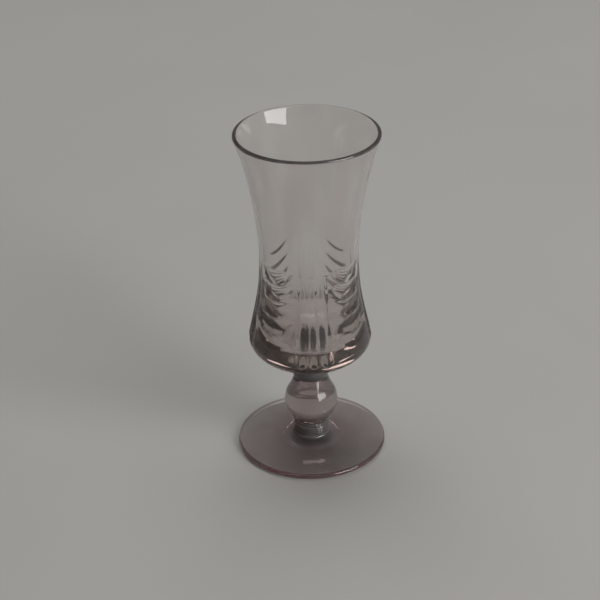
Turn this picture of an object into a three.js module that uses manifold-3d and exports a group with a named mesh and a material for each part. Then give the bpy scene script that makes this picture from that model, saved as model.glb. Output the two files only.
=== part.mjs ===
// A small stemmed liqueur glass, hot-joined from five gathers of glass: foot, lower collar, ball knop,
// neck collar and bowl. The bowl flares like a trumpet over a heavy base, and below its waist it is cut with
// four panels of flutes and four columns of wide scoops between them.
// Millimetres, +Z up, origin at the middle of the foot's underside. A panel of flutes faces -Y.

import * as THREE from 'three';
import { mergeVertices } from 'three/addons/utils/BufferGeometryUtils.js';
import Module from 'manifold-3d';

const wasm = await Module();
wasm.setup();

// Heights of the joints between the gathers, and of the ball's middle and the rim.
const COLLAR_Z = 4;
const BALL_Z = 9.25;
const BALL_CENTRE_Z = 17.4;
const NECK_Z = 27.25;
const BOWL_Z = 31.5;
const RIM_Z = 120;

// Radii of the turned shape.
const FOOT_R = 26.4;
const COLLAR_R = 6.3;
const BALL_R = 9.4;
const BALL_BASE_R = 5.5;
const BALL_TOP_DEG = 36;
const NECK_R = 5.8;
const NECK_TOP_R = 6.2;
const WAIST_R = 17;
const RIM_R = 24.6;

// The foot.
const FOOT_EDGE_T = 2;
const FOOT_FLARE = 0.6;
const PONTIL_R = 10.5;
const PONTIL_DEPTH = 0.6;

// The bowl's outside: a flare above the waist, a cone below it, and a rounded base under the shoulder.
const WAIST_Z = 75;
const FLARE_POWER = 1.9;
const CONE_SLOPE = 0.22;
const CONE_TOP_Z = 64.3;
const CONE_EASE = 3.5;
const SHOULDER_Z = 44.5;

// The bowl's inside.
const WALL_T = 1.5;
const CAVITY_FLOOR_Z = 40.5;

// The cut pattern, which repeats at each quarter turn.
const QUARTERS = 4;
const FLUTES_PER_PANEL = 3;
const FLUTE_PITCH = THREE.MathUtils.degToRad(12.3);
const FLUTE_RADIUS = 3.4;
const FLUTE_TOP_Z = 75;
const FLUTE_BOTTOM_Z = 42;
const FLUTE_DEPTH_LOW = 0.95;
const FLUTE_DEPTH_HIGH = 0.3;
const FLUTE_RUN_OUT = 0.85;
const SCOOPS_PER_COLUMN = 5;
const SCOOP_TOP_Z = 73;
const SCOOP_PITCH = 5.75;
const SCOOP_HALF_SPAN = THREE.MathUtils.degToRad(22.5);
const SCOOP_RISE = 2.6;
const SCOOP_RADIUS = 6.2;
const SCOOP_DEPTH = 0.65;

// How finely the turned pieces and the cuts are divided.
const TURN_SEGMENTS = 40;
const BOWL_SEGMENTS = 48;

const point = (r, z) => new THREE.Vector2(r, z);

// A quarter-round or other arc of a profile, as points from one angle to another about (r, z).
function arc(r, z, radius, fromDeg, toDeg, steps) {
  const points = [];
  for (let i = 0; i <= steps; i += 1) {
    const a = THREE.MathUtils.degToRad(fromDeg + ((toDeg - fromDeg) * i) / steps);
    points.push(point(r + radius * Math.cos(a), z + radius * Math.sin(a)));
  }
  return points;
}

// A turned solid: the profile runs from the axis at the bottom to the axis at the top, and +Y becomes +Z.
function turned(profile, segments = TURN_SEGMENTS) {
  return new THREE.LatheGeometry(profile, segments).rotateX(Math.PI / 2);
}

function glass(name, geometry, z, colour) {
  const material = new THREE.MeshStandardMaterial({ color: colour, roughness: 0.05, metalness: 0 });
  const mesh = new THREE.Mesh(geometry, material);
  mesh.name = name;
  mesh.position.z = z;
  return mesh;
}

// Radius of the bowl's outside at a height between the shoulder and the rim.
function outsideRadius(z) {
  if (z > WAIST_Z) {
    const share = (z - WAIST_Z) / (RIM_Z - WAIST_Z);
    return WAIST_R + (RIM_R - WAIST_R) * share ** FLARE_POWER;
  }
  const ease = Math.log1p(Math.exp((CONE_TOP_Z - z) / CONE_EASE));
  return WAIST_R + CONE_SLOPE * CONE_EASE * ease;
}

// A flat disc with a rounded edge, thin at the edge and rising to the collar, with a shallow pontil hollow.
function footGeometry() {
  const edgeR = FOOT_EDGE_T / 2;
  const edge = arc(FOOT_R - edgeR, edgeR, edgeR, -90, 75, 6);
  const top = new THREE.QuadraticBezierCurve(
    point(FOOT_R - 2, FOOT_EDGE_T + 0.15),
    point(COLLAR_R + 5, FOOT_EDGE_T + 0.5),
    point(COLLAR_R + FOOT_FLARE, COLLAR_Z),
  );
  const hollow = [point(0, PONTIL_DEPTH), point(PONTIL_R - 2, PONTIL_DEPTH), point(PONTIL_R, 0)];
  return turned([...hollow, ...edge, ...top.getPoints(5), point(0, COLLAR_Z)]);
}

// A disc between foot and ball, with a soft edge above and a narrow groove under the ball.
function lowerCollarGeometry() {
  const height = BALL_Z - COLLAR_Z;
  const base = new THREE.QuadraticBezierCurve(
    point(COLLAR_R + FOOT_FLARE, 0),
    point(COLLAR_R, 0.3),
    point(COLLAR_R, 1.4),
  );
  const edgeR = 0.7;
  const edge = arc(COLLAR_R - edgeR, height - 1.9, edgeR, 0, 80, 4);
  return turned([point(0, 0), ...base.getPoints(3), ...edge, point(BALL_BASE_R, height), point(0, height)]);
}

// A solid ball whose top draws in to the neck.
function ballGeometry() {
  const height = NECK_Z - BALL_Z;
  const startDeg = -THREE.MathUtils.radToDeg(Math.acos(BALL_BASE_R / BALL_R));
  const round = arc(0, BALL_CENTRE_Z - BALL_Z, BALL_R, startDeg, BALL_TOP_DEG, 10);
  const shoulder = new THREE.QuadraticBezierCurve(
    round.at(-1),
    point(NECK_R + 0.9, height - 2.1),
    point(NECK_R, height),
  );
  const bottom = [point(0, 0), point(BALL_BASE_R, 0)];
  return turned([...bottom, ...round.slice(1), ...shoulder.getPoints(4).slice(1), point(0, height)]);
}

// A short bulging collar under the bowl.
function neckCollarGeometry() {
  const height = BOWL_Z - NECK_Z;
  const side = new THREE.QuadraticBezierCurve(
    point(NECK_R, 0),
    point(NECK_TOP_R + 0.9, height * 0.45),
    point(NECK_TOP_R, height),
  );
  return turned([point(0, 0), ...side.getPoints(6), point(0, height)]);
}

// The underside from the neck out to the shoulder, seen from the bowl's own origin at its neck.
function undersideOutline() {
  const shoulderR = outsideRadius(SHOULDER_Z);
  const sweep = new THREE.CubicBezierCurve(
    point(NECK_TOP_R, 0),
    point(NECK_TOP_R + 0.2, 3.4),
    point(WAIST_R - 2.5, 4.4),
    point(WAIST_R + 0.9, 6.6),
  );
  const round = new THREE.QuadraticBezierCurve(
    point(WAIST_R + 0.9, 6.6),
    point(shoulderR + 0.05, SHOULDER_Z - BOWL_Z - 4),
    point(shoulderR, SHOULDER_Z - BOWL_Z),
  );
  return [...sweep.getPoints(5), ...round.getPoints(4).slice(1)];
}

// The outside wall up to the rim, with points closer together where it bends more.
function wallOutline() {
  const heights = [50, 56, 61, 66, 74, 84, 92, 100, 107, 113, 118];
  return heights.map((z) => point(outsideRadius(z), z - BOWL_Z));
}

// The rounded lip, the inside wall and the round bottom of the cavity, down to the axis.
function insideOutline() {
  const floor = CAVITY_FLOOR_Z - BOWL_Z;
  const lip = arc(RIM_R - WALL_T / 2 - 0.1, RIM_Z - WALL_T / 2 - BOWL_Z, WALL_T / 2, 20, 180, 4);
  const heights = [112, 103, 94, 84, 73];
  const wall = heights.map((z) => point(outsideRadius(z) - WALL_T, z - BOWL_Z));
  const taper = new THREE.CubicBezierCurve(
    point(15.3, 66 - BOWL_Z),
    point(14.6, 57 - BOWL_Z),
    point(14, 52 - BOWL_Z),
    point(12.8, 45.5 - BOWL_Z),
  );
  const bottom = new THREE.CubicBezierCurve(
    point(12.8, 45.5 - BOWL_Z),
    point(12, floor + 1.2),
    point(8, floor),
    point(0, floor),
  );
  return [...lip, ...wall, ...taper.getPoints(3), ...bottom.getPoints(5).slice(1)];
}

// A place on or near the outside wall: turn is the angle from -Y towards +X, and depth is how far inside.
function onWall(turn, z, depth) {
  const r = outsideRadius(z) - depth;
  return new THREE.Vector3(r * Math.sin(turn), -r * Math.cos(turn), z - BOWL_Z);
}

// The space that a round-edged cutting wheel sweeps, as a tube along the path of its edge's centre.
function groove(place, radius, steps, sides) {
  const centres = [];
  for (let i = 0; i <= steps; i += 1) {
    const { turn, z, depth } = place(i / steps);
    centres.push(onWall(turn, z, depth - radius));
  }
  const section = new THREE.Shape(new THREE.EllipseCurve(0, 0, radius, radius).getPoints(sides).slice(0, -1));
  const path = new THREE.CatmullRomCurve3(centres);
  return new THREE.ExtrudeGeometry(section, { extrudePath: path, steps, curveSegments: 1, bevelEnabled: false });
}

// One long flute, shallow at the waist and deeper where the bowl widens, running out under the shoulder.
function flute(turn) {
  const place = (share) => {
    const z = FLUTE_BOTTOM_Z + (FLUTE_TOP_Z - FLUTE_BOTTOM_Z) * share;
    const deepening = (FLUTE_DEPTH_LOW - FLUTE_DEPTH_HIGH) * (1 - share) ** 2;
    const runOut = 2 * Math.max(0, share - FLUTE_RUN_OUT);
    return { turn, z, depth: FLUTE_DEPTH_HIGH + deepening - runOut };
  };
  return groove(place, FLUTE_RADIUS, 8, 18);
}

// One wide scoop across a column: deepest in the middle, with ends that turn up and run out.
function scoop(column, middleZ) {
  const place = (share) => {
    const side = 2 * share - 1;
    return {
      turn: column + SCOOP_HALF_SPAN * side,
      z: middleZ + SCOOP_RISE * side ** 2,
      depth: SCOOP_DEPTH * (1 - side ** 2),
    };
  };
  return groove(place, SCOOP_RADIUS, 8, 30);
}

function toManifold(geometry) {
  geometry.deleteAttribute('normal');
  geometry.deleteAttribute('uv');
  const merged = mergeVertices(geometry, 1e-4);
  const mesh = new wasm.Mesh({
    numProp: 3,
    vertProperties: new Float32Array(merged.attributes.position.array),
    triVerts: new Uint32Array(merged.index.array),
  });
  return new wasm.Manifold(mesh);
}

function toGeometry(manifold) {
  const mesh = manifold.getMesh();
  const geometry = new THREE.BufferGeometry();
  geometry.setAttribute('position', new THREE.BufferAttribute(mesh.vertProperties, 3));
  geometry.setIndex(new THREE.BufferAttribute(mesh.triVerts, 1));
  geometry.computeVertexNormals();
  return geometry;
}

// The bowl: its turned blank, less the flutes and the scoops.
function bowlGeometry() {
  const profile = [point(0, 0), ...undersideOutline(), ...wallOutline(), ...insideOutline()];
  let body = toManifold(turned(profile, BOWL_SEGMENTS));
  for (let quarter = 0; quarter < QUARTERS; quarter += 1) {
    const panel = (quarter * 2 * Math.PI) / QUARTERS;
    const column = panel + Math.PI / QUARTERS;
    for (let i = 0; i < FLUTES_PER_PANEL; i += 1) {
      const turn = panel + (i - (FLUTES_PER_PANEL - 1) / 2) * FLUTE_PITCH;
      body = body.subtract(toManifold(flute(turn)));
    }
    for (let i = 0; i < SCOOPS_PER_COLUMN; i += 1) {
      body = body.subtract(toManifold(scoop(column, SCOOP_TOP_Z - SCOOP_PITCH * i)));
    }
  }
  return toGeometry(body);
}

const part = new THREE.Group();
part.add(
  glass('foot', footGeometry(), 0, 0x9c8f90),
  glass('lower_collar', lowerCollarGeometry(), COLLAR_Z, 0x9a8d8e),
  glass('ball_knop', ballGeometry(), BALL_Z, 0x94878a),
  glass('neck_collar', neckCollarGeometry(), NECK_Z, 0x9a8d8e),
  glass('bowl', bowlGeometry(), BOWL_Z, 0xb3acab),
);

export default part;
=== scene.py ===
"""A small stemmed liqueur glass of clear glass with a faint mauve tint.

It is built from five gathers of glass: foot, lower collar, ball knop, neck collar and bowl. Each gather is
one closed body turned about Z, and below its waist the bowl is cut with four panels of flutes and four
columns of wide scoops between them. Shapes are worked out in millimetres and made in metres.
"""

import math

import bpy
import numpy as np
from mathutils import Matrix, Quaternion, Vector


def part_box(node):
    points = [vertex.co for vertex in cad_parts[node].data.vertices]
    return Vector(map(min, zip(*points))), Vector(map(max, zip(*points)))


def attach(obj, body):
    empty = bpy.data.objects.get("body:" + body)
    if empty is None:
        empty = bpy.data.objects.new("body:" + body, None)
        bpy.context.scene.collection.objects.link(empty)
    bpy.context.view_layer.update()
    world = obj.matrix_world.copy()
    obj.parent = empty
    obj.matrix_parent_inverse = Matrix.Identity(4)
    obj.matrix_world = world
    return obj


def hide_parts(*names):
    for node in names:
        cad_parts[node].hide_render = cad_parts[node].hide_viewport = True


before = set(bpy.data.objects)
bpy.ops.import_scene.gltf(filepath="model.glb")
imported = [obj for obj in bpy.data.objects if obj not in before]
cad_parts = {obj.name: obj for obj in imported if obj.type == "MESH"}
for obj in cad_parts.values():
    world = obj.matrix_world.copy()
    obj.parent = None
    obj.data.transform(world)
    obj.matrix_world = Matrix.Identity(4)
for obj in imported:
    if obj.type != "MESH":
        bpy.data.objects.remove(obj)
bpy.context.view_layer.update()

MM = 0.001

# Heights and radii that the CAD model settles.
FOOT_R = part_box("foot")[1].x / MM
COLLAR_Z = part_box("lower_collar")[0].z / MM
BALL_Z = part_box("ball_knop")[0].z / MM
NECK_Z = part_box("neck_collar")[0].z / MM
BOWL_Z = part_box("bowl")[0].z / MM
RIM_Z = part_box("bowl")[1].z / MM

# The stem.
COLLAR_R = 6.3
COLLAR_BASE_R = COLLAR_R + 0.6
COLLAR_EDGE_R = 0.7
COLLAR_EDGE_DROP = 1.9
BALL_R = 9.4
BALL_CENTRE_Z = 17.4
BALL_BASE_R = 5.5
BALL_TOP_DEG = 36
GROOVE_R = BALL_BASE_R - 0.1
NECK_R = 5.8
NECK_TOP_R = 6.2
NECK_BULGE = 0.9

# The foot.
FOOT_EDGE_R = 1.0
FOOT_EDGE_TOP_DEG = 88
PONTIL_R = 10.5
PONTIL_BEND_R = PONTIL_R - 1
PONTIL_FLAT_R = PONTIL_R - 2.4
PONTIL_DEPTH = 0.6

# The bowl's outside: a flare above the waist, a cone below it, and a rounded base under the shoulder.
WAIST_R = 17.0
WAIST_Z = 75.0
RIM_R = 24.6
FLARE_POWER = 1.9
FLARE_TOP_Z = 117
CONE_SLOPE = 0.22
CONE_TOP_Z = 64.3
CONE_EASE = 3.5
SHOULDER_Z = 44.5
BASE_EDGE = (WAIST_R + 0.9, 38.1)

# The lip and the inside: a wall of even thickness, drawing in to the round bottom of the cavity.
WALL_T = 1.5
LIP_R = 0.75
LIP_INSET = 0.1
CAVITY_NARROW = (15.3, 66)
CAVITY_HEEL = (12.8, 45.5)
CAVITY_FLOOR_Z = 40.5

# The cut pattern, which repeats at each quarter turn.
QUARTER = math.radians(90)
FLUTES_PER_PANEL = 3
FLUTE_PITCH = math.radians(12.3)
FLUTE_RADIUS = 3.4
FLUTE_TOP_Z = 75.0
FLUTE_BOTTOM_Z = 42.0
FLUTE_DEPTH_LOW = 0.95
FLUTE_DEPTH_HIGH = 0.3
FLUTE_RUN_OUT = 0.85
FLUTE_RUN_OUT_RATE = 2
SCOOPS_PER_COLUMN = 5
SCOOP_TOP_Z = 73.0
SCOOP_PITCH = 5.75
SCOOP_HALF_SPAN = math.radians(22.5)
SCOOP_RISE = 2.6
SCOOP_RADIUS = 6.2
SCOOP_DEPTH = 0.65
CUT_LOWEST_Z = 39.0
CUT_HIGHEST_Z = 77.0
CUT_REACH = 1
POLISHED_EDGE = 0.08

# The fineness of the meshes: columns round the axis, and rows in the cut stretch of the wall.
COLUMNS = 360
CUT_ROW_PITCH = 0.25
JOINT_GAP = 0.005

# The glass: a little of its surface is dulled by wear, and the rest is clear.
GLASS_IOR = 1.52
CLEARNESS = 0.97
COLLAR_CLEARNESS = 0.92
ABSORPTION_PER_METRE = 1000.0

# About how much light each millimetre of glass lets through.
FOOT_TINT = (0.982, 0.965, 0.968)
STEM_TINT = (0.957, 0.948, 0.948)
BOWL_TINT = (0.971, 0.965, 0.963)

# The streaks of tint are longer than they are wide. The waves' height is in metres.
STREAK_STRETCH = 6
STREAK_DETAIL = 3.0
STREAK_FROM = 0.35
STREAK_TO = 0.65
STREAK_MAUVE = (0.925, 0.897, 0.898)
STREAK_CLEAR = (0.99, 0.985, 0.982)
WAVES_PER_METRE = 90.0
WAVE_HEIGHT = 0.00004

# The floor and the room. The floor lies just under the foot.
FLOOR_HALF_WIDTH = 1.1
FLOOR_Z = -0.0002
FLOOR_CLOUDS_PER_METRE = 6.0
FLOOR_CLOUD_DETAIL = 4.0
FLOOR_ROUGHNESS = 0.9
FLOOR_SHINE = 0.15
FLOOR_DARK = (0.335, 0.333, 0.325)
FLOOR_PALE = (0.375, 0.372, 0.363)
ROOM_HORIZON = (0.27, 0.26, 0.24)
ROOM_OVERHEAD = (0.095, 0.081, 0.070)
ROOM_DARKENS_BY = 0.35
GLASS_BOUNCES = 32


def arc(centre_r, centre_z, radius, from_deg, to_deg, steps):
    """Points on an arc of an outline, as rows of radius and height."""
    angle = np.radians(np.linspace(from_deg, to_deg, steps + 1))
    return np.stack([centre_r + radius * np.cos(angle), centre_z + radius * np.sin(angle)], axis=1)


def bezier(*controls, steps):
    """Points on the Bezier curve with these controls."""
    share = np.linspace(0, 1, steps + 1)[:, None]
    points = [np.repeat([control], steps + 1, axis=0) for control in controls]
    while len(points) > 1:
        points = [low * (1 - share) + high * share for low, high in zip(points, points[1:])]
    return points[0]


def outside_radius(z):
    """Radius of the bowl's blank at a height between the shoulder and the rim."""
    share = np.clip((z - WAIST_Z) / (RIM_Z - WAIST_Z), 0, None)
    flare = (RIM_R - WAIST_R) * share**FLARE_POWER
    cone = CONE_SLOPE * CONE_EASE * np.log1p(np.exp((CONE_TOP_Z - z) / CONE_EASE))
    return WAIST_R + np.where(z > WAIST_Z, flare, cone)


def wall_outline(heights, inset=0):
    """The wall at these heights, as rows of radius and height."""
    return np.array([(float(outside_radius(z)) - inset, z) for z in heights])


def foot_outline():
    """A flat disc with a rounded edge, rising to the collar, with a shallow pontil hollow underneath."""
    hollow = bezier(
        (PONTIL_FLAT_R, PONTIL_DEPTH),
        (PONTIL_BEND_R, PONTIL_DEPTH),
        (PONTIL_BEND_R, 0),
        (PONTIL_R, 0),
        steps=8,
    )
    edge = arc(FOOT_R - FOOT_EDGE_R, FOOT_EDGE_R, FOOT_EDGE_R, -90, FOOT_EDGE_TOP_DEG, steps=20)
    top = bezier(edge[-1], (20, 2.19), (12, 2.35), (COLLAR_BASE_R, COLLAR_Z), steps=40)
    return np.concatenate([[(0, PONTIL_DEPTH)], hollow, edge, top[1:], [(0, COLLAR_Z)]])


def lower_collar_outline():
    """A disc between foot and ball, with a soft edge above and a narrow groove under the ball."""
    base = bezier(
        (COLLAR_BASE_R, COLLAR_Z),
        (COLLAR_R + 0.05, COLLAR_Z + 0.18),
        (COLLAR_R, COLLAR_Z + 0.9),
        (COLLAR_R, COLLAR_Z + 1.6),
        steps=10,
    )
    edge = arc(COLLAR_R - COLLAR_EDGE_R, BALL_Z - COLLAR_EDGE_DROP, COLLAR_EDGE_R, 0, 80, steps=10)
    groove = bezier(
        edge[-1],
        (GROOVE_R, BALL_Z - 1.1),
        (GROOVE_R, BALL_Z - 0.5),
        (BALL_BASE_R, BALL_Z),
        steps=6,
    )
    return np.concatenate([[(0, COLLAR_Z)], base, edge, groove[1:], [(0, BALL_Z)]])


def ball_outline():
    """A solid ball whose top draws in to the neck."""
    start_deg = -math.degrees(math.acos(BALL_BASE_R / BALL_R))
    round_side = arc(0, BALL_CENTRE_Z, BALL_R, start_deg, BALL_TOP_DEG, steps=60)
    shoulder = bezier(round_side[-1], (NECK_R + NECK_BULGE, NECK_Z - 2.1), (NECK_R, NECK_Z), steps=20)
    return np.concatenate([[(0, BALL_Z)], round_side, shoulder[1:], [(0, NECK_Z)]])


def neck_collar_outline():
    """A short bulging collar under the bowl."""
    bulge_z = NECK_Z + (BOWL_Z - NECK_Z) * 0.45
    side = bezier((NECK_R, NECK_Z), (NECK_TOP_R + NECK_BULGE, bulge_z), (NECK_TOP_R, BOWL_Z), steps=24)
    return np.concatenate([[(0, NECK_Z)], side, [(0, BOWL_Z)]])


def bowl_outline():
    """The heavy base, the outside wall, the rounded lip, the inside wall and the floor of the cavity."""
    shoulder_r = float(outside_radius(SHOULDER_Z))
    sweep = bezier((NECK_TOP_R, BOWL_Z), (NECK_TOP_R + 0.2, 34.9), (WAIST_R - 2.5, 35.9), BASE_EDGE, steps=16)
    base = bezier(sweep[-1], (shoulder_r + 0.05, 40.5), (shoulder_r, SHOULDER_Z), steps=20)
    cut_rows = np.arange(SHOULDER_Z, CUT_HIGHEST_Z, CUT_ROW_PITCH)[1:]
    plain_rows = np.linspace(cut_rows[-1], FLARE_TOP_Z, 20)[1:]
    outside = wall_outline(np.concatenate([cut_rows, plain_rows]))
    lip = arc(RIM_R - LIP_R - LIP_INSET, RIM_Z - LIP_R, LIP_R, -26, 160, steps=14)
    flare = bezier(outside[-1], outside[-1] + (0.3, 0.95), lip[0], steps=5)
    inside = wall_outline(np.linspace(FLARE_TOP_Z, WAIST_Z, 24), WALL_T)
    waist = bezier(inside[-1], (WAIST_R - WALL_T, 72), (15.53, 69), CAVITY_NARROW, steps=6)
    taper = bezier(waist[-1], (14.6, 57), (14, 52), CAVITY_HEEL, steps=14)
    cavity = bezier(
        taper[-1],
        (12, CAVITY_FLOOR_Z + 1.2),
        (8, CAVITY_FLOOR_Z),
        (0, CAVITY_FLOOR_Z),
        steps=18,
    )
    return np.concatenate([
        [(0, BOWL_Z)], sweep, base[1:], outside, flare[1:-1], lip, inside, waist[1:], taper[1:], cavity[1:],
    ])


def softened_max(a, b):
    """The larger of two depths, with the corner between them eased as polishing eases it."""
    overlap = np.clip(POLISHED_EDGE - np.abs(a - b), 0, None)
    return np.maximum(a, b) + overlap**2 / (4 * POLISHED_EDGE)


def folded(turn, middle):
    """Angles measured from the nearest of the four places that lie a quarter turn apart, from middle on."""
    return (turn - middle + QUARTER / 2) % QUARTER - QUARTER / 2


def flute_depth(offset, z):
    """How deep one long flute cuts, offset radians to the side of its middle line."""
    share = np.clip((z - FLUTE_BOTTOM_Z) / (FLUTE_TOP_Z - FLUTE_BOTTOM_Z), 0, None)
    run_out = FLUTE_RUN_OUT_RATE * np.clip(share - FLUTE_RUN_OUT, 0, None)
    middle_depth = FLUTE_DEPTH_HIGH + (FLUTE_DEPTH_LOW - FLUTE_DEPTH_HIGH) * (1 - share)**2 - run_out
    radius = outside_radius(z)
    centre = radius - middle_depth + FLUTE_RADIUS
    inside = FLUTE_RADIUS**2 - (centre * np.sin(offset))**2
    wall = centre * np.cos(offset) - np.sqrt(np.clip(inside, 0, None))
    return np.where(inside > 0, radius - wall, -1)


def scoop_depth(offset, z, middle_z):
    """How deep one wide scoop cuts: deepest in its middle, with ends that turn up and run out."""
    side = offset / SCOOP_HALF_SPAN
    along = z - middle_z - SCOOP_RISE * side**2
    inside = SCOOP_RADIUS**2 - along**2
    depth = SCOOP_DEPTH * (1 - side**2) - SCOOP_RADIUS + np.sqrt(np.clip(inside, 0, None))
    return np.where(inside > 0, depth, -1)


def cut_depth(turn, z):
    """How much the cutting takes off the bowl's blank at each place."""
    depth = np.zeros_like(z)
    for i in range(FLUTES_PER_PANEL):
        middle = (i - (FLUTES_PER_PANEL - 1) / 2) * FLUTE_PITCH
        depth = softened_max(depth, flute_depth(folded(turn, middle), z))
    from_column = folded(turn, QUARTER / 2)
    for i in range(SCOOPS_PER_COLUMN):
        depth = softened_max(depth, scoop_depth(from_column, z, SCOOP_TOP_Z - SCOOP_PITCH * i))
    return depth


def cut_blank(radius, turn, z):
    """The blank's radii, less the cuts where they reach in from the outside wall."""
    cut = (z > CUT_LOWEST_Z) & (z < CUT_HIGHEST_Z) & (radius > outside_radius(z) - CUT_REACH)
    result = radius.copy()
    wall = outside_radius(z[cut]) - cut_depth(turn[cut], z[cut])
    result[cut] = np.minimum(radius[cut], wall)
    return result


def turned_points(outline, heights, cut):
    """The points of all the rings, ring by ring, and then the lower and the upper pole."""
    turn = np.arange(COLUMNS) * 2 * math.pi / COLUMNS
    z, turn = np.meshgrid(heights[1:-1], turn, indexing="ij")
    radius = np.repeat(outline[1:-1, :1], COLUMNS, axis=1)
    if cut:
        radius = cut(radius, turn, z)
    rings = np.stack([radius * np.sin(turn), -radius * np.cos(turn), z], axis=-1).reshape(-1, 3)
    return np.concatenate([rings, [(0, 0, heights[0]), (0, 0, heights[-1])]]) * MM


def turned_faces(rings):
    """Quads between the rings, then the triangles round the lower pole and round the upper one."""
    this = np.arange(COLUMNS)
    following = (this + 1) % COLUMNS
    bottom_pole = rings * COLUMNS
    top_pole = bottom_pole + 1
    quads = []
    for i in range(rings - 1):
        low = i * COLUMNS
        high = low + COLUMNS
        quads.append(np.stack([low + this, low + following, high + following, high + this], axis=1))
    last = (rings - 1) * COLUMNS
    bottom = np.stack([np.full(COLUMNS, bottom_pole), following, this], axis=1)
    top = np.stack([np.full(COLUMNS, top_pole), last + this, last + following], axis=1)
    return np.concatenate(quads).tolist() + bottom.tolist() + top.tolist()


def turned(name, outline, joined_below, joined_above, cut=None):
    """A closed body turned about Z. Faces that meet the next gather get the second material slot."""
    heights = outline[:, 1].copy()
    if joined_below:
        heights = np.maximum(heights, heights[0] + JOINT_GAP)
    if joined_above:
        heights = np.minimum(heights, heights[-1] - JOINT_GAP)
    points = turned_points(outline, heights, cut)
    faces = turned_faces(len(outline) - 2)
    mesh = bpy.data.meshes.new(name)
    mesh.from_pydata(points.tolist(), [], faces)
    is_joint = np.zeros(len(faces), dtype=bool)
    is_joint[-2 * COLUMNS:-COLUMNS] = joined_below
    is_joint[-COLUMNS:] = joined_above
    mesh.polygons.foreach_set("use_smooth", ~is_joint)
    mesh.polygons.foreach_set("material_index", is_joint.astype(np.int32))
    mesh.update()
    piece = bpy.data.objects.new(name, mesh)
    bpy.context.scene.collection.objects.link(piece)
    return piece


def new_material(name):
    """A material with nodes, and its node tree."""
    material = bpy.data.materials.new(name)
    material.use_nodes = True
    return material, material.node_tree


def add_noise(tree, vector, scale, detail):
    """A noise pattern along a vector, from 0 to 1."""
    noise = tree.nodes.new("ShaderNodeTexNoise")
    noise.inputs["Scale"].default_value = scale
    noise.inputs["Detail"].default_value = detail
    tree.links.new(vector, noise.inputs["Vector"])
    return noise.outputs["Fac"]


def add_ramp(tree, factor, first_position, first_colour, second_position, second_colour):
    """A blend from one colour to another as a factor grows."""
    ramp = tree.nodes.new("ShaderNodeValToRGB")
    first, second = ramp.color_ramp.elements
    first.position = first_position
    first.color = (*first_colour, 1)
    second.position = second_position
    second.color = (*second_colour, 1)
    tree.links.new(factor, ramp.inputs["Fac"])
    return ramp.outputs["Color"]


def absorb(tree, tint):
    """Gives a material the glass's own absorption, so that thick glass looks darker and more mauve."""
    absorption = tree.nodes.new("ShaderNodeVolumeAbsorption")
    absorption.inputs["Color"].default_value = (*tint, 1)
    absorption.inputs["Density"].default_value = ABSORPTION_PER_METRE
    tree.links.new(absorption.outputs["Volume"], tree.nodes["Material Output"].inputs["Volume"])


def glass_material(name, tint, streaks_per_metre, clearness=CLEARNESS):
    """Clear glass: faint streaks of tint along its height, and the slight waviness of hot-worked glass."""
    material, tree = new_material(name)
    shader = tree.nodes["Principled BSDF"]
    shader.inputs["Transmission Weight"].default_value = clearness
    shader.inputs["IOR"].default_value = GLASS_IOR
    shader.inputs["Roughness"].default_value = 0.0

    place = tree.nodes.new("ShaderNodeTexCoord")
    stretch = tree.nodes.new("ShaderNodeMapping")
    along = streaks_per_metre / STREAK_STRETCH
    stretch.inputs["Scale"].default_value = (streaks_per_metre, streaks_per_metre, along)
    tree.links.new(place.outputs["Object"], stretch.inputs["Vector"])
    streaks = add_noise(tree, stretch.outputs["Vector"], 1.0, STREAK_DETAIL)
    colour = add_ramp(tree, streaks, STREAK_FROM, STREAK_MAUVE, STREAK_TO, STREAK_CLEAR)
    tree.links.new(colour, shader.inputs["Base Color"])

    waves = add_noise(tree, place.outputs["Object"], WAVES_PER_METRE, 1.0)
    bump = tree.nodes.new("ShaderNodeBump")
    bump.inputs["Distance"].default_value = WAVE_HEIGHT
    bump.inputs["Strength"].default_value = 1.0
    tree.links.new(waves, bump.inputs["Height"])
    tree.links.new(bump.outputs["Normal"], shader.inputs["Normal"])
    absorb(tree, tint)
    return material


def joint_material(name, tint):
    """Where two gathers are fused: light goes straight through, and the absorption goes on."""
    material, tree = new_material(name)
    tree.nodes.remove(tree.nodes["Principled BSDF"])
    clear = tree.nodes.new("ShaderNodeBsdfTransparent")
    tree.links.new(clear.outputs["BSDF"], tree.nodes["Material Output"].inputs["Surface"])
    absorb(tree, tint)
    return material


def finish_piece(piece, node, glass, joint):
    """Puts a gather in the place of its CAD node."""
    piece.data.materials.append(glass)
    piece.data.materials.append(joint)
    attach(piece, "root")
    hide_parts(node)


def direction(azimuth_deg, elevation_deg):
    """A unit vector: azimuth is measured from -Y towards +X."""
    azimuth = math.radians(azimuth_deg)
    elevation = math.radians(elevation_deg)
    flat = math.cos(elevation)
    return Vector((math.sin(azimuth) * flat, -math.cos(azimuth) * flat, math.sin(elevation)))


def soft_light(name, azimuth_deg, elevation_deg, distance, width, height, radiance, colour):
    """A rectangular light that faces the glass, equally bright all over, which the camera doesn't see."""
    light = bpy.data.lights.new(name, "AREA")
    light.shape = "RECTANGLE"
    light.size = width
    light.size_y = height
    light.energy = radiance * math.pi * width * height
    light.color = colour
    lamp = bpy.data.objects.new(name, light)
    towards = direction(azimuth_deg, elevation_deg)
    lamp.location = towards * distance
    lamp.rotation_euler = towards.to_track_quat("Z", "Y").to_euler()
    lamp.visible_camera = False
    bpy.context.scene.collection.objects.link(lamp)
    return lamp


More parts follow.
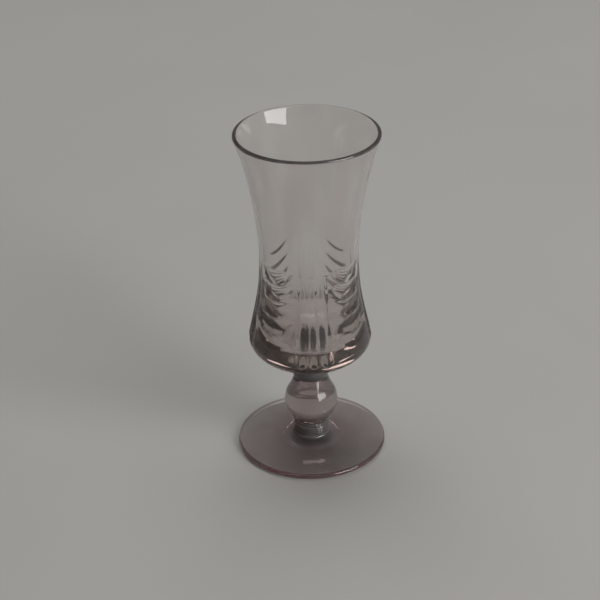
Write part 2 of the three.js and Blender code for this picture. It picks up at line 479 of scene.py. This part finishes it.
def add_floor():
    """A wide plain pale floor, a little uneven in tone."""
    half = FLOOR_HALF_WIDTH
    corners = [(-half, -half, 0), (half, -half, 0), (half, half, 0), (-half, half, 0)]
    mesh = bpy.data.meshes.new("floor")
    mesh.from_pydata(corners, [], [(0, 1, 2, 3)])
    floor = bpy.data.objects.new("floor", mesh)
    floor.location.z = FLOOR_Z
    bpy.context.scene.collection.objects.link(floor)
    material, tree = new_material("floor_paint")
    place = tree.nodes.new("ShaderNodeTexCoord")
    clouds = add_noise(tree, place.outputs["Object"], FLOOR_CLOUDS_PER_METRE, FLOOR_CLOUD_DETAIL)
    tone = add_ramp(tree, clouds, 0.0, FLOOR_DARK, 1.0, FLOOR_PALE)
    shader = tree.nodes["Principled BSDF"]
    tree.links.new(tone, shader.inputs["Base Color"])
    shader.inputs["Roughness"].default_value = FLOOR_ROUGHNESS
    shader.inputs["Specular IOR Level"].default_value = FLOOR_SHINE
    mesh.materials.append(material)


def add_world():
    """A dim room: nearly as bright as the floor at the horizon, and darker and browner overhead."""
    world = bpy.data.worlds.new("room")
    bpy.context.scene.world = world
    world.use_nodes = True
    tree = world.node_tree
    place = tree.nodes.new("ShaderNodeTexCoord")
    split = tree.nodes.new("ShaderNodeSeparateXYZ")
    tree.links.new(place.outputs["Generated"], split.inputs["Vector"])
    tone = add_ramp(tree, split.outputs["Z"], 0.0, ROOM_HORIZON, ROOM_DARKENS_BY, ROOM_OVERHEAD)
    tree.links.new(tone, tree.nodes["Background"].inputs["Color"])
    tree.nodes["Background"].inputs["Strength"].default_value = 1.0


def add_camera():
    """The view down on to the glass from its front, a little to its left."""
    distance = 0.5322
    azimuth_deg = -3.6
    elevation_deg = 28.942
    aim_right = -0.00328
    aim_up = -0.00238
    roll_deg = -1.1613
    data = bpy.data.cameras.new("camera")
    data.lens = 92.65
    data.sensor_width = 36.0
    data.clip_start = 0.01
    data.clip_end = 20.0
    camera = bpy.data.objects.new("camera", data)
    centre = Vector((0, 0, RIM_Z / 2 * MM))
    towards = direction(azimuth_deg, elevation_deg)
    right = Vector((0, 0, 1)).cross(towards).normalized()
    up = towards.cross(right)
    aim = centre + right * aim_right + up * aim_up
    camera.location = centre + towards * distance
    facing = (aim - camera.location).to_track_quat("-Z", "Y")
    camera.rotation_mode = "QUATERNION"
    camera.rotation_quaternion = facing @ Quaternion((0, 0, 1), math.radians(roll_deg))
    bpy.context.scene.collection.objects.link(camera)
    bpy.context.scene.camera = camera


def set_light_paths():
    """Enough bounces for light to cross every wall of the glass, and colours shown as they are."""
    scene = bpy.context.scene
    scene.view_settings.view_transform = "Standard"
    scene.cycles.max_bounces = GLASS_BOUNCES
    scene.cycles.transmission_bounces = GLASS_BOUNCES
    scene.cycles.transparent_max_bounces = GLASS_BOUNCES
    scene.cycles.glossy_bounces = 12
    scene.cycles.diffuse_bounces = 4
    scene.cycles.volume_bounces = 0
    scene.cycles.use_denoising = True


add_camera()
add_floor()
add_world()
set_light_paths()

# Both light the floor. The window is seen only in reflections, and the light overhead only through the glass.
window = soft_light(
    "window",
    azimuth_deg=50,
    elevation_deg=27,
    distance=1.5,
    width=1.0,
    height=0.88,
    radiance=6.9,
    colour=(1.0, 0.99, 0.97),
)
window.visible_transmission = False
overhead = soft_light(
    "overhead",
    azimuth_deg=184,
    elevation_deg=68,
    distance=1.6,
    width=1.3,
    height=1.2,
    radiance=3.4,
    colour=(1.0, 1.0, 0.985),
)
overhead.visible_glossy = False

foot_glass = glass_material("foot_glass", FOOT_TINT, streaks_per_metre=150)
stem_glass = glass_material("stem_glass", STEM_TINT, streaks_per_metre=200)
collar_glass = glass_material("collar_glass", STEM_TINT, streaks_per_metre=200, clearness=COLLAR_CLEARNESS)
bowl_glass = glass_material("bowl_glass", BOWL_TINT, streaks_per_metre=120)
foot_joint = joint_material("foot_joint", FOOT_TINT)
stem_joint = joint_material("stem_joint", STEM_TINT)
bowl_joint = joint_material("bowl_joint", BOWL_TINT)

foot = turned("foot_disc", foot_outline(), joined_below=False, joined_above=True)
finish_piece(foot, "foot", foot_glass, foot_joint)
lower_collar = turned("lower_collar_gather", lower_collar_outline(), joined_below=True, joined_above=True)
finish_piece(lower_collar, "lower_collar", collar_glass, stem_joint)
ball = turned("ball_gather", ball_outline(), joined_below=True, joined_above=True)
finish_piece(ball, "ball_knop", stem_glass, stem_joint)
neck_collar = turned("neck_collar_gather", neck_collar_outline(), joined_below=True, joined_above=True)
finish_piece(neck_collar, "neck_collar", collar_glass, stem_joint)
bowl = turned("cut_bowl", bowl_outline(), joined_below=True, joined_above=False, cut=cut_blank)
finish_piece(bowl, "bowl", bowl_glass, bowl_joint)
